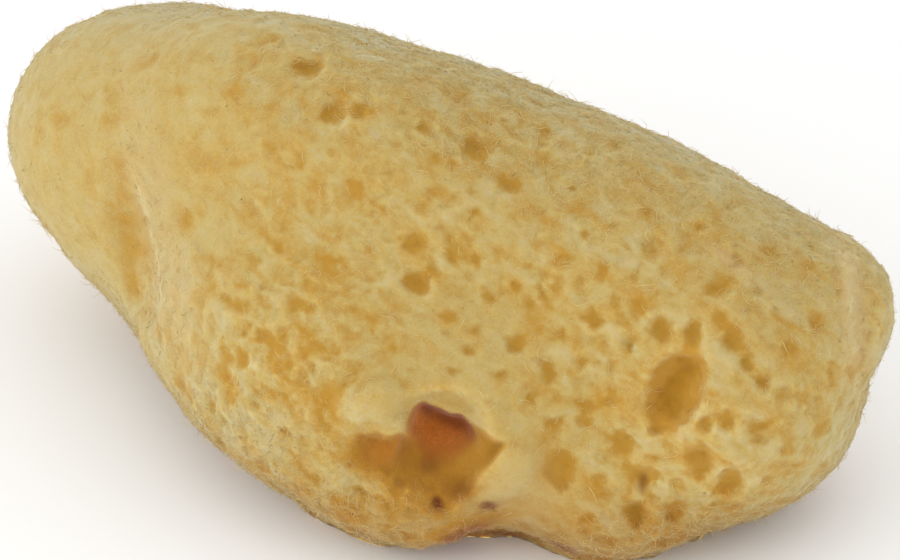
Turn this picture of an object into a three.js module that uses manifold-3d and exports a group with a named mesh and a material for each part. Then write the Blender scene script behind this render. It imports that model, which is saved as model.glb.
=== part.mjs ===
// A natural bath sponge: the fibre skeleton of a sea sponge, one soft lump cut off flat where it grew on rock.
// Millimetres, +Z up. +X runs along the sponge's length, and the origin is on the flat cut, under its middle.
import * as THREE from "three";
import { ImprovedNoise } from "three/addons/math/ImprovedNoise.js";
import { mergeVertices } from "three/addons/utils/BufferGeometryUtils.js";
import Module from "manifold-3d";

// The finished sponge: its length, its depth from front to back, and its height above the cut.
const LENGTH = 112;
const DEPTH = 57.5;
const HEIGHT = 48;

// The view that pixels are read in: 900 by 560, from the front right and above.
const VIEW = {
  azimuth: 32,
  elevation: 35,
  distance: 450,
  target: [6, 0, 21],
  pixelsPerMm: 8.8,
  middle: [450, 280],
};

// The lump is lobes that grew together: the middle, the half sizes along X, Y and Z, and how softly each
// one runs into those before it.
const LOBES = [
  { name: "core", at: [2, 5, 15], half: [37, 23, 29], blend: 8 },
  { name: "front", at: [-14, -1, 22], half: [32, 17, 26], blend: 8 },
  { name: "left end", at: [-36, 4, 23], half: [20, 17, 17], blend: 6 },
  { name: "right shoulder", at: [29, 7, 18], half: [24, 17, 21], blend: 9 },
  { name: "right end", at: [43, 7, 14], half: [11, 14, 12], blend: 6 },
  { name: "right rear", at: [44, 10, 26], half: [12, 10, 9], blend: 5 },
  { name: "right front", at: [41, 1, 18], half: [11, 12, 13], blend: 7 },
  { name: "belly", at: [1, -12, 14], half: [27, 17, 17], blend: 8 },
  { name: "left foot", at: [13, -22, 8], half: [9, 5, 6], blend: 5 },
  { name: "right foot", at: [30, -8, 7], half: [12, 9, 7], blend: 5 },
];

// Low swellings all over: how far apart they are and how high.
const SWELLINGS = [
  { across: 26, high: 1.2 },
  { across: 11, high: 0.6 },
];

// Hollows seen from the front: the pixel in the middle of the mouth, the mouth's width and height as seen,
// its turn against the clock in degrees, and the depth. A lean tips the way in to the right and up, and a
// depth below zero is a lip that stands out.
const FRONT_HOLLOWS = [
  { name: "cave", pixel: [441, 428], wide: 9.2, high: 6.2, turn: -14, deep: 7.5, lean: [0.1, 0.5] },
  { name: "cave floor", pixel: [436, 458], wide: 10, high: 8.4, turn: 35, deep: 2.8, lean: [0, 0.3] },
  { name: "under the flap", pixel: [378, 440], wide: 5.4, high: 2.4, turn: 5, deep: 1.2, lean: [0, 0.6] },
  { name: "flap", pixel: [372, 406], wide: 8, high: 5.2, turn: 20, deep: -2.2, lean: [0.2, -0.3] },
  { name: "right lip", pixel: [508, 474], wide: 5, high: 8, turn: -35, deep: -1.2, lean: [-0.2, 0] },
  { name: "left crease", pixel: [127, 245], wide: 5.2, high: 22, turn: 11, deep: 1.4, lean: [0.9, 0] },
  { name: "end crease", pixel: [868, 312], wide: 2.4, high: 13, turn: 3, deep: 1.3, lean: [-0.8, 0] },
  { name: "kidney mouth", pixel: [672, 394], wide: 5.8, high: 9.4, turn: -24, deep: 4.5 },
  { name: "kidney mouth top", pixel: [685, 372], wide: 4.4, high: 3.6, turn: 0, deep: 2.5 },
  { name: "three lobed", pixel: [560, 470], wide: 3.6, high: 4.6, turn: 0, deep: 3.2 },
  { name: "corner", pixel: [730, 488], wide: 3.6, high: 3, turn: 30, deep: 3 },
  { name: "slot", pixel: [643, 483], wide: 1.8, high: 2.8, turn: -10, deep: 3 },
  { name: "foot left", pixel: [636, 517], wide: 2.4, high: 2.8, turn: 20, deep: 3 },
  { name: "foot right", pixel: [674, 516], wide: 2.4, high: 2.6, turn: -20, deep: 2.6 },
  { name: "long one", pixel: [701, 468], wide: 2.8, high: 4.6, turn: 0, deep: 2 },
  { name: "left of kidney", pixel: [621, 446], wide: 2.8, high: 3, turn: 0, deep: 2.4 },
  { name: "pair left", pixel: [704, 425], wide: 1.8, high: 2.6, turn: 0, deep: 2 },
  { name: "pair right", pixel: [728, 423], wide: 1.8, high: 3, turn: 0, deep: 2.4 },
  { name: "lidded", pixel: [760, 436], wide: 3.2, high: 3.6, turn: 0, deep: 2 },
  { name: "double top", pixel: [748, 364], wide: 1.8, high: 3.2, turn: 20, deep: 2.2 },
  { name: "double bottom", pixel: [764, 382], wide: 1.9, high: 2.6, turn: 20, deep: 2.4 },
  { name: "above kidney", pixel: [733, 343], wide: 2.8, high: 2.8, turn: 0, deep: 2.2 },
  { name: "tall left", pixel: [663, 331], wide: 2.4, high: 3.6, turn: 0, deep: 1.8 },
  { name: "tall right", pixel: [692, 335], wide: 2.2, high: 4, turn: 0, deep: 2.2 },
  { name: "upper round", pixel: [595, 321], wide: 2.2, high: 2.2, turn: 0, deep: 2.4 },
  { name: "lower round", pixel: [629, 347], wide: 2, high: 2, turn: 0, deep: 2.2 },
  { name: "middle", pixel: [587, 409], wide: 2, high: 2, turn: 0, deep: 2 },
  { name: "middle left", pixel: [532, 398], wide: 2.2, high: 2.2, turn: 0, deep: 2.2 },
  { name: "shallow", pixel: [550, 373], wide: 2.2, high: 3.4, turn: 0, deep: 1.6 },
  { name: "below ridge", pixel: [515, 346], wide: 2.6, high: 2.2, turn: 0, deep: 2 },
  { name: "upper slit", pixel: [453, 372], wide: 2.4, high: 1.8, turn: -20, deep: 2 },
  { name: "centre deep", pixel: [414, 283], wide: 3.4, high: 2.8, turn: -20, deep: 2.8 },
  { name: "centre high", pixel: [412, 243], wide: 3, high: 2.2, turn: 0, deep: 2 },
  { name: "crest left", pixel: [305, 65], wide: 4.2, high: 2.4, turn: 0, deep: 2.2 },
  { name: "crest middle", pixel: [331, 113], wide: 2.8, high: 3, turn: -30, deep: 3 },
  { name: "crest right", pixel: [359, 110], wide: 2.2, high: 2.2, turn: 0, deep: 2.6 },
  { name: "crest small", pixel: [423, 127], wide: 2.2, high: 2, turn: -30, deep: 2.2 },
  { name: "diagonal", pixel: [475, 148], wide: 2.6, high: 3.6, turn: 35, deep: 2.8 },
  { name: "diagonal foot", pixel: [510, 185], wide: 3.6, high: 1.6, turn: -15, deep: 1.8 },
  { name: "right crest", pixel: [652, 247], wide: 2.4, high: 2.6, turn: 0, deep: 1.8 },
  { name: "right crease", pixel: [718, 285], wide: 3.6, high: 2.2, turn: 30, deep: 1.6 },
  { name: "left foot pit", pixel: [361, 493], wide: 2.8, high: 2.4, turn: -20, deep: 2.2 },
  { name: "valley pit", pixel: [460, 489], wide: 3, high: 2.2, turn: 0, deep: 2.6 },
  { name: "valley slit", pixel: [438, 504], wide: 1.8, high: 2, turn: 0, deep: 2.2 },
];

// Hollows on the sides that the view doesn't reach lie on a spiral of this many steps round the sponge, above
// the lowest height, and only where the skin turns less than these shares towards the eye and the ground.
const HIDDEN = {
  steps: 110,
  lowest: 5,
  toEye: 0.1,
  toGround: 0.5,
  smallest: 2,
  largest: 5.4,
  stretch: [0.8, 1.3],
  depthShare: 0.6,
  turnStep: 50,
};

// Edges of the triangles: the longest away from the hollows, and at a mouth's rim.
const PLAIN_EDGE = 4.2;
const RIM_EDGE = { share: 0.42, shortest: 0.9, longest: 2, reach: 1.35 };
const SPLITTING_ROUNDS = 7;
const RELAXING_ROUNDS = 4;

// Points this near to a rim, as shares of the way from the mouth's middle to it, are moved on to it.
const RIM_SNAP = [0.78, 1.22];

// Points this near to the cut are moved on to it, so that it leaves no splinters.
const CUT_SNAP = 0.5;

// A hollow moves only the skin this near to its middle along the way in, not the far side of the sponge.
const HOLLOW_REACH = 9;

// A point inside the sponge, a distance that is outside it in any direction, and the rock that it grew on.
const HEART = new THREE.Vector3(5, 1, 17);
const FARTHEST = 90;
const ROCK = { across: 300, deep: 100 };

// The first round skin has faces this many times finer than an icosahedron's.
const BALL_DETAIL = 7;

// A ray walks this share of the distance to the lump at each step, until it is close enough.
const WALK = { steps: 400, share: 0.7, close: 0.002 };
const SETTLING_STEPS = 4;

const noise = new ImprovedNoise();

// About how far a point is from an ellipsoid, and below zero inside it.
function ellipsoid(p, at, half) {
  const x = p.x - at[0];
  const y = p.y - at[1];
  const z = p.z - at[2];
  const near = Math.hypot(x / half[0], y / half[1], z / half[2]);
  const steep = Math.hypot(x / half[0] ** 2, y / half[1] ** 2, z / half[2] ** 2);
  return steep < 1e-9 ? -Math.min(...half) : (near * (near - 1)) / steep;
}

function joined(a, b, blend) {
  const overlap = Math.max(blend - Math.abs(a - b), 0) / blend;
  return Math.min(a, b) - (overlap * overlap * blend) / 4;
}

// About how far a point is from the lump, before its hollows.
function lump(p) {
  let d = 1000;
  for (const { at, half, blend } of LOBES) d = joined(d, ellipsoid(p, at, half), blend);
  for (const { across, high } of SWELLINGS) {
    d += high * noise.noise(p.x / across + 7, p.y / across, p.z / across);
  }
  return d;
}

function outward(p) {
  const step = 0.05;
  const slope = (x, y, z) => {
    const ahead = new THREE.Vector3(p.x + x, p.y + y, p.z + z);
    const behind = new THREE.Vector3(p.x - x, p.y - y, p.z - z);
    return (lump(ahead) - lump(behind)) / (2 * step);
  };
  return new THREE.Vector3(slope(step, 0, 0), slope(0, step, 0), slope(0, 0, step));
}

// Moves a point that is close to the lump's surface on to it.
function settle(p) {
  for (let i = 0; i < SETTLING_STEPS; i++) {
    const slope = outward(p);
    p.addScaledVector(slope, -lump(p) / slope.lengthSq());
  }
  return p;
}

// Where a ray first meets the lump, or null.
function meeting(from, direction) {
  const p = from.clone();
  for (let i = 0; i < WALK.steps && p.distanceTo(from) < 2 * VIEW.distance; i++) {
    const d = lump(p);
    if (d < WALK.close) return p;
    p.addScaledVector(direction, WALK.share * d);
  }
  return null;
}

const turn = THREE.MathUtils.degToRad(VIEW.azimuth);
const rise = THREE.MathUtils.degToRad(VIEW.elevation);
const toEye = new THREE.Vector3(
  Math.sin(turn) * Math.cos(rise),
  -Math.cos(turn) * Math.cos(rise),
  Math.sin(rise),
);
const viewRight = new THREE.Vector3(Math.cos(turn), Math.sin(turn), 0);
const viewUp = new THREE.Vector3().crossVectors(toEye, viewRight);
const eye = new THREE.Vector3(...VIEW.target).addScaledVector(toEye, VIEW.distance);

function seenAt([x, y]) {
  const ray = toEye.clone().multiplyScalar(-VIEW.pixelsPerMm * VIEW.distance);
  ray.addScaledVector(viewRight, x - VIEW.middle[0]);
  ray.addScaledVector(viewUp, VIEW.middle[1] - y);
  return meeting(eye, ray.normalize());
}

// A hollow is its middle on the surface, the way in, and its mouth's two half sizes as arrows across it.
function hollow(at, right, up, { wide, high, turn: angle = 0, deep, lean = [0, 0] }) {
  const inward = outward(at).normalize().negate();
  inward.addScaledVector(right, lean[0]).addScaledVector(up, lean[1]).normalize();
  const bend = THREE.MathUtils.degToRad(angle);
  const across = right.clone().multiplyScalar(Math.cos(bend)).addScaledVector(up, Math.sin(bend));
  const along = up.clone().multiplyScalar(Math.cos(bend)).addScaledVector(right, -Math.sin(bend));
  return { at, inward, across: across.divideScalar(wide / 2), along: along.divideScalar(high / 2), deep, wide, high };
}

function frontHollows() {
  return FRONT_HOLLOWS.map((shape) => hollow(seenAt(shape.pixel), viewRight, viewUp, shape));
}

// The golden angle spreads the steps evenly, and the same angle picks each one's size.
function hiddenHollows() {
  const golden = Math.PI * (3 - Math.sqrt(5));
  const found = [];
  for (let i = 0; i < HIDDEN.steps; i++) {
    const height = 1 - (2 * i + 1) / HIDDEN.steps;
    const round = Math.sqrt(1 - height * height);
    const direction = new THREE.Vector3(Math.cos(golden * i) * round, Math.sin(golden * i) * round, height);
    const at = meeting(HEART.clone().addScaledVector(direction, FARTHEST), direction.clone().negate());
    const normal = outward(at).normalize();
    if (at.z < HIDDEN.lowest || normal.dot(toEye) > HIDDEN.toEye || -normal.z > HIDDEN.toGround) continue;
    const right = new THREE.Vector3(0, 0, 1).cross(normal).normalize();
    const up = normal.clone().cross(right);
    const share = ((golden * i * i) % 1) ** 2;
    const wide = THREE.MathUtils.lerp(HIDDEN.smallest, HIDDEN.largest, share);
    const high = wide * THREE.MathUtils.lerp(...HIDDEN.stretch, (golden * i) % 1);
    const shape = { wide, high, turn: HIDDEN.turnStep * i, deep: wide * HIDDEN.depthShare };
    found.push(hollow(at, right, up, shape));
  }
  return found;
}

// How far across a hollow's mouth a point is: 0 at its middle, 1 on its rim.
function across(p, { at, across: side, along, inward }) {
  const from = p.clone().sub(at);
  if (Math.abs(from.dot(inward)) > HOLLOW_REACH) return Infinity;
  return Math.hypot(from.dot(side), from.dot(along));
}

// The longest edge that the skin may have near a point.
function longestEdge(p, hollows) {
  let edge = PLAIN_EDGE;
  for (const one of hollows) {
    const reach = across(p, one);
    if (reach > RIM_EDGE.reach) continue;
    const rim = THREE.MathUtils.clamp(
      Math.min(one.wide, one.high) * RIM_EDGE.share,
      RIM_EDGE.shortest,
      RIM_EDGE.longest,
    );
    edge = Math.min(edge, rim);
  }
  return edge;
}

function roundSkin() {
  const ball = new THREE.IcosahedronGeometry(1, BALL_DETAIL);
  ball.deleteAttribute("normal");
  ball.deleteAttribute("uv");
  const merged = mergeVertices(ball, 1e-4);
  const points = [];
  for (let i = 0; i < merged.attributes.position.count; i++) {
    const direction = new THREE.Vector3().fromBufferAttribute(merged.attributes.position, i).normalize();
    points.push(meeting(HEART.clone().addScaledVector(direction, FARTHEST), direction.negate()));
  }
  const faces = [];
  for (let i = 0; i < merged.index.count; i += 3) {
    faces.push([merged.index.getX(i), merged.index.getX(i + 1), merged.index.getX(i + 2)]);
  }
  return { points, faces };
}

// One face as the faces that replace it, where middles are the new points on its three sides, or -1.
function divided(corners, middles, points) {
  let [a, b, c] = corners;
  let [ab, bc, ca] = middles;
  if (ab >= 0 && bc >= 0 && ca >= 0) return [[a, ab, ca], [ab, b, bc], [ca, bc, c], [ab, bc, ca]];
  if (ab < 0 && bc < 0 && ca < 0) return [corners];
  while (ab < 0 || ca >= 0) {
    [a, b, c] = [b, c, a];
    [ab, bc, ca] = [bc, ca, ab];
  }
  if (bc < 0) return [[a, ab, c], [ab, b, c]];
  const first = points[a].distanceTo(points[bc]) < points[ab].distanceTo(points[c]);
  return first ? [[ab, b, bc], [a, ab, bc], [a, bc, c]] : [[ab, b, bc], [a, ab, c], [ab, bc, c]];
}

function splitLongEdges({ points, faces }, hollows) {
  const found = new Map();
  const middle = (a, b) => {
    const key = Math.min(a, b) * 1e6 + Math.max(a, b);
    if (!found.has(key)) {
      const p = points[a].clone().add(points[b]).multiplyScalar(0.5);
      const long = points[a].distanceTo(points[b]) > longestEdge(p, hollows);
      found.set(key, long ? points.push(settle(p)) - 1 : -1);
    }
    return found.get(key);
  };
  const next = [];
  for (const [a, b, c] of faces) {
    next.push(...divided([a, b, c], [middle(a, b), middle(b, c), middle(c, a)], points));
  }
  return { points, faces: next };
}

// Evens out the triangles: each point moves half way to the middle of its neighbours, along the surface.
function relax({ points, faces }, held = new Set()) {
  const sums = points.map(() => new THREE.Vector3());
  const counts = points.map(() => 0);
  for (const [a, b, c] of faces) {
    for (const [from, to] of [[a, b], [b, c], [c, a]]) {
      sums[from].add(points[to]);
      counts[from] += 1;
    }
  }
  points.forEach((p, i) => held.has(i) || settle(p.lerp(sums[i].divideScalar(counts[i]), 0.5)));
}

// Moves the points that are near a rim on to it, so that the mouth's edge is crisp, and gives their numbers.
function drawRims({ points }, hollows) {
  const onRim = new Set();
  points.forEach((p, i) => {
    const reaches = hollows.map((one) => across(p, one));
    const near = reaches.findIndex((reach) => reach > RIM_SNAP[0] && reach < RIM_SNAP[1]);
    if (near < 0) return;
    const { at, inward } = hollows[near];
    const away = p.clone().sub(at);
    away.addScaledVector(inward, -away.dot(inward));
    settle(p.addScaledVector(away, 1 / reaches[near] - 1));
    onRim.add(i);
  });
  return onRim;
}

// A hollow's depth across its mouth: flat in the middle and steep at the rim.
function bowl(reach) {
  return reach < 1 ? Math.sqrt(1 - reach ** 3) : 0;
}

function pressIn({ points }, hollows) {
  for (const p of points) {
    const start = p.clone();
    for (const one of hollows) p.addScaledVector(one.inward, one.deep * bowl(across(start, one)));
  }
}

function lumpWithHollows() {
  const hollows = [...frontHollows(), ...hiddenHollows()];
  let skin = roundSkin();
  for (let i = 0; i < SPLITTING_ROUNDS; i++) {
    skin = splitLongEdges(skin, hollows);
    relax(skin);
  }
  const onRim = drawRims(skin, hollows);
  for (let i = 0; i < RELAXING_ROUNDS; i++) relax(skin, onRim);
  pressIn(skin, hollows);
  for (const p of skin.points) {
    if (Math.abs(p.z) < CUT_SNAP) p.z = 0;
  }
  const places = skin.points.flatMap((p) => p.toArray());
  return new THREE.BufferGeometry()
    .setAttribute("position", new THREE.Float32BufferAttribute(places, 3))
    .setIndex(skin.faces.flat());
}

const wasm = await Module();
wasm.setup();

function solid(geometry) {
  const mesh = new wasm.Mesh({
    numProp: 3,
    vertProperties: new Float32Array(geometry.attributes.position.array),
    triVerts: new Uint32Array(geometry.index.array),
  });
  return new wasm.Manifold(mesh);
}

function rock() {
  const box = new THREE.BoxGeometry(ROCK.across, ROCK.across, ROCK.deep).translate(0, 0, -ROCK.deep / 2);
  box.deleteAttribute("normal");
  box.deleteAttribute("uv");
  return solid(mergeVertices(box));
}

// Brings the lump to its finished size, with the origin on the cut, under its middle.
function fitted(geometry) {
  geometry.computeBoundingBox();
  const size = geometry.boundingBox.getSize(new THREE.Vector3());
  const middle = geometry.boundingBox.getCenter(new THREE.Vector3());
  geometry.translate(-middle.x, -middle.y, -geometry.boundingBox.min.z);
  return geometry.scale(LENGTH / size.x, DEPTH / size.y, HEIGHT / size.z);
}

function cutSponge() {
  const cut = solid(lumpWithHollows()).subtract(rock()).getMesh();
  const geometry = new THREE.BufferGeometry()
    .setAttribute("position", new THREE.BufferAttribute(cut.vertProperties, 3))
    .setIndex(new THREE.BufferAttribute(cut.triVerts, 1));
  return fitted(geometry);
}

const fibre = new THREE.MeshStandardMaterial({ color: 0xd2ad68, roughness: 0.95, metalness: 0 });
const sponge = new THREE.Mesh(cutSponge(), fibre);
sponge.name = "sponge";

const group = new THREE.Group();
group.add(sponge);

export default group;
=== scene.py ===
import math

import bpy
import numpy as np
from mathutils import Matrix, Vector
from mathutils.bvhtree import BVHTree
from mathutils.kdtree import KDTree


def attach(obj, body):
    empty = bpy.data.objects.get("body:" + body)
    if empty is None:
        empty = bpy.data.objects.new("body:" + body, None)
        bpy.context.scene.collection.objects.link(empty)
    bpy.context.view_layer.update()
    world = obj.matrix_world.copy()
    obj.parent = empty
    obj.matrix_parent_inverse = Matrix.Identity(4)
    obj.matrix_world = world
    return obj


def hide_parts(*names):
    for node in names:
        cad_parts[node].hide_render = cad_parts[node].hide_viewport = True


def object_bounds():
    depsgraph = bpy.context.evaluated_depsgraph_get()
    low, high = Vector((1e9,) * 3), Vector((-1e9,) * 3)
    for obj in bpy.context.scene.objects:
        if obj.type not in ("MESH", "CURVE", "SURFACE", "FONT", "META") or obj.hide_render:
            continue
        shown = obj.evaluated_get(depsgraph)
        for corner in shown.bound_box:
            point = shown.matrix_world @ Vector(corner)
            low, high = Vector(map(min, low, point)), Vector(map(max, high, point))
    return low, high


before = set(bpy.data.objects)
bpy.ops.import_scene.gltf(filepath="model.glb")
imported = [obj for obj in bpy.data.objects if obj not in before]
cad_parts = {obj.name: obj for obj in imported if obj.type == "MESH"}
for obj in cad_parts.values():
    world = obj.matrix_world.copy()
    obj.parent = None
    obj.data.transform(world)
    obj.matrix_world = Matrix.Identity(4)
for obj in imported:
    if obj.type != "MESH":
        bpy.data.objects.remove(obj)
CAD_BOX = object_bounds()

MM = 0.001

# The view: from the front right and above, with the picture's width and middle in pixels.
AZIMUTH = math.radians(32)
ELEVATION = math.radians(35)
TARGET = Vector((6.2, 0, 21.2)) * MM
DISTANCE = 450 * MM
PIXELS_PER_MM = 8.8
PICTURE_WIDTH = 900
PICTURE_MIDDLE = (450, 280)
SENSOR = 36

TO_EYE = Vector((
    math.sin(AZIMUTH) * math.cos(ELEVATION),
    -math.cos(AZIMUTH) * math.cos(ELEVATION),
    math.sin(ELEVATION),
))
VIEW_RIGHT = Vector((math.cos(AZIMUTH), math.sin(AZIMUTH), 0))
VIEW_UP = TO_EYE.cross(VIEW_RIGHT)
EYE = TARGET + TO_EYE * DISTANCE

# The skin lies this far inside the sponge's outline, which is where the fibre ends reach.
SKIN_INSET = 0.15 * MM
BODY_VOXEL = 0.6 * MM
SKIN_VOXEL = 0.36 * MM
SKIN_TRIANGLES = 194000
BELOW_CUT = 2.5 * MM
MERGE = 0.001 * MM
ON_CUT = 0.01 * MM
ROCK = 300 * MM

# The hollows are closed over by swelling the sponge this far and shrinking it again.
SWELL = 3 * MM
HULL_VOXEL = 0.8 * MM

# Pits seen from the front: the pixel in the middle of the mouth, its width and height as seen and its depth
# in millimetres, and its turn against the clock in degrees.
SEEN_PITS = [
    ("kidney mouth", (672, 398), 4.6, 7.6, 4.5, -24),
    ("kidney mouth top", (686, 373), 3.4, 2.8, 4.0, 0),
    ("kidney mouth dark spot", (665, 398), 1.6, 2.2, 7.0, -10),
    ("kidney mouth corner", (655, 428), 2.4, 2.0, 4.5, 20),
    ("three lobed top", (562, 460), 2.6, 2.2, 3.5, 0),
    ("three lobed left", (552, 474), 2.0, 2.6, 3.2, 10),
    ("three lobed foot", (562, 485), 2.2, 1.8, 3.6, 0),
    ("corner", (730, 488), 3.0, 2.4, 3.8, 25),
    ("slot", (643, 483), 1.1, 2.1, 4.5, -10),
    ("foot left", (636, 517), 2.0, 2.4, 3.6, 20),
    ("foot right", (674, 516), 2.0, 2.2, 3.4, -20),
    ("long one", (701, 468), 2.2, 3.8, 2.0, 0),
    ("left of kidney", (621, 446), 2.3, 2.5, 2.6, 0),
    ("pair left", (704, 425), 1.4, 2.2, 2.6, 0),
    ("pair right", (728, 423), 1.5, 2.5, 3.0, 0),
    ("lidded", (762, 443), 2.6, 1.6, 2.2, -10),
    ("lidded top", (757, 426), 1.2, 1.3, 2.2, 0),
    ("double top", (748, 364), 1.4, 2.4, 2.8, 20),
    ("double bottom", (764, 382), 1.5, 2.2, 3.0, 20),
    ("above kidney", (733, 343), 2.4, 2.2, 2.4, 0),
    ("tall left", (663, 331), 1.9, 3.0, 2.0, 0),
    ("tall right", (692, 335), 1.7, 3.4, 2.5, 0),
    ("upper round", (595, 321), 1.8, 1.8, 3.4, 0),
    ("lower round", (629, 347), 1.4, 1.4, 3.2, 0),
    ("middle", (587, 409), 1.5, 1.5, 3.0, 0),
    ("middle left", (532, 398), 1.7, 1.8, 2.8, 0),
    ("shallow", (550, 373), 1.6, 3.0, 1.6, 0),
    ("below ridge", (515, 346), 2.2, 1.8, 2.2, 0),
    ("upper slit", (453, 372), 1.9, 1.1, 2.6, -20),
    ("centre deep", (414, 283), 2.8, 2.2, 3.4, -20),
    ("centre high", (412, 243), 2.6, 1.6, 2.4, 0),
    ("crest left", (305, 65), 3.8, 1.7, 2.2, 0),
    ("crest middle", (329, 113), 2.3, 2.4, 3.2, -30),
    ("crest right", (359, 110), 1.6, 1.7, 3.0, 0),
    ("crest far right", (403, 109), 1.2, 1.4, 2.0, 0),
    ("crest small", (423, 127), 1.7, 1.3, 3.0, -30),
    ("crest left small", (246, 124), 1.5, 1.2, 2.2, 0),
    ("diagonal", (476, 148), 2.2, 3.3, 3.4, 35),
    ("diagonal foot", (510, 184), 3.2, 1.1, 2.2, -15),
    ("right of diagonal", (571, 187), 1.3, 1.3, 2.2, 0),
    ("right crest low", (635, 275), 1.3, 1.8, 2.2, 0),
    ("right crest", (652, 247), 1.8, 2.2, 2.0, 0),
    ("right crest small", (684, 246), 1.2, 1.2, 2.0, 0),
    ("right crease", (718, 285), 3.0, 1.6, 1.8, 30),
    ("right slope", (777, 332), 1.4, 1.4, 1.8, 0),
    ("right slope left", (758, 292), 1.4, 1.4, 1.8, 0),
    ("left foot pit", (361, 493), 2.3, 1.9, 2.6, -20),
    ("cave pit", (460, 489), 2.6, 1.7, 3.2, 0),
    ("cave slit", (437, 504), 1.2, 1.4, 2.6, 0),
    ("cave side pit", (487, 506), 1.3, 1.3, 2.2, 0),
    ("cave spot", (428, 466), 1.6, 1.3, 2.6, 0),
    ("under flap", (399, 483), 1.2, 1.4, 2.0, 0),
    ("valley", (478, 524), 2.2, 1.4, 2.0, 0),
    ("above flap", (404, 384), 1.5, 1.3, 2.2, 0),
    ("left of flap", (359, 388), 1.4, 1.3, 2.0, 0),
    ("crescent", (369, 289), 1.5, 0.9, 2.4, 0),
    ("high pair", (381, 211), 2.3, 1.0, 2.4, 0),
    ("high dot", (361, 225), 1.0, 1.0, 2.0, 0),
    ("high right dot", (447, 239), 0.9, 0.9, 2.2, 0),
    ("ridge pit", (528, 307), 1.6, 2.0, 2.2, 0),
    ("ridge pit small", (502, 276), 1.2, 1.4, 2.0, 0),
    ("between", (490, 403), 1.4, 1.2, 2.0, 0),
    ("below centre", (446, 332), 1.4, 1.2, 2.0, 0),
]

# The skin is pressed in by this share of a seen pit's depth, as light comes through the fibres and lifts the
# floor. A pit reaches a little past its mouth, whose outline has a number of waves of a height of its own.
PRESSED_SHARE = 0.25
PIT_MARGIN = 1.3
MOUTH_WAVES = ((3, 0.16), (5, 0.1))

# A point is pressed in with a pit unless it faces this far backwards, and with a dent if it faces this far
# out.
SIDEWAYS = 0.2

# Soft oval patches are named by the pixel in the middle, the width and height in pixels, the turn against the
# clock in degrees and the strength. They reach this many pixels to and from the eye and fade outwards.
PATCH_REACH = 120
PATCH_FADE = 0.7

# Where the fuzz is thick, and how thick it is on the rest of what the view shows and on the hidden sides.
THICK_FUZZ = [
    ("upper band", (540, 140), 440, 130, -26, 1.0),
    ("crest", (330, 90), 200, 90, -12, 0.7),
    ("right shoulder", (800, 270), 150, 130, -30, 1.0),
    ("lower left", (290, 470), 320, 110, -32, 1.0),
    ("left lobe", (154, 230), 60, 300, 10, 0.35),
    ("right foot", (690, 525), 220, 50, 10, 1.0),
    ("below the cave", (430, 520), 120, 40, 0, 0.8),
]
BARE_FUZZ = 0.08
HIDDEN_FUZZ = 0.5

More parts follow.
